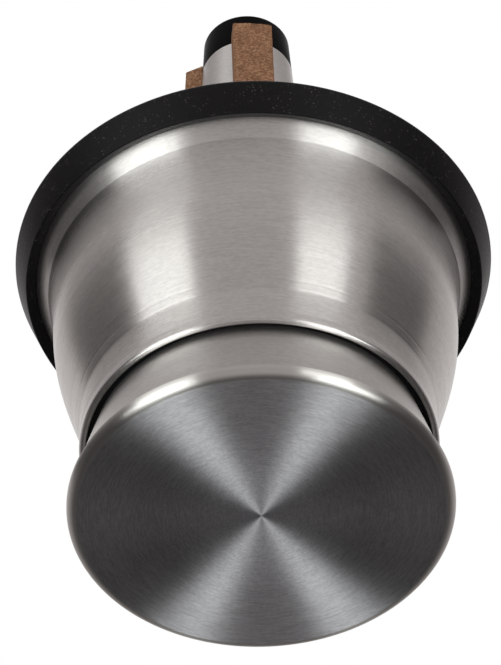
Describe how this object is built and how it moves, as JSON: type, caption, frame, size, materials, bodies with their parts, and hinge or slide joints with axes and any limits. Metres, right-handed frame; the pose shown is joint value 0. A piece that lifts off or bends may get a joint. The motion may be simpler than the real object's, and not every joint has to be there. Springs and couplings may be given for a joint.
{
  "type": "trumpet cup mute",
  "caption": "Trumpet cup mute: a hollow spun metal cone with cork strips on its neck, and a flared metal cup with a rubber edge that lifts off over the neck.",
  "frame": {"origin": "centre of the end cap's flat face, which the mute stands on", "axes": "+Z along the mute's axis to the tip of the neck, -Y to the middle of the pictured side"},
  "size_m": [0.1172, 0.1172, 0.1747],
  "materials": {
    "disc_aluminium": "faced in fine rings, satin",
    "body_aluminium": "brushed round the axis, satin",
    "cup_aluminium": "brushed round the axis, satin",
    "black_plastic": "smooth, soft gloss",
    "cork": "pressed granulated cork, matt",
    "black_rubber": "matt with a faint grain",
    "black_felt": "matt felt"
  },
  "bodies": {
    "body": {"end_cap": "disc_aluminium", "body_shell": "body_aluminium", "tip_ring": "black_plastic", "cork_front": "cork", "cork_right": "cork", "cork_left": "cork"},
    "cup": {"cup_shell": "cup_aluminium", "rim_edging": "black_rubber", "cup_felt": "black_felt"}
  },
  "joints": [
    {"name": "cup_slide", "type": "slide", "parent": "body", "child": "cup", "axis": [0, 0, 1], "range_m": [0, 0.16]}
  ]
}
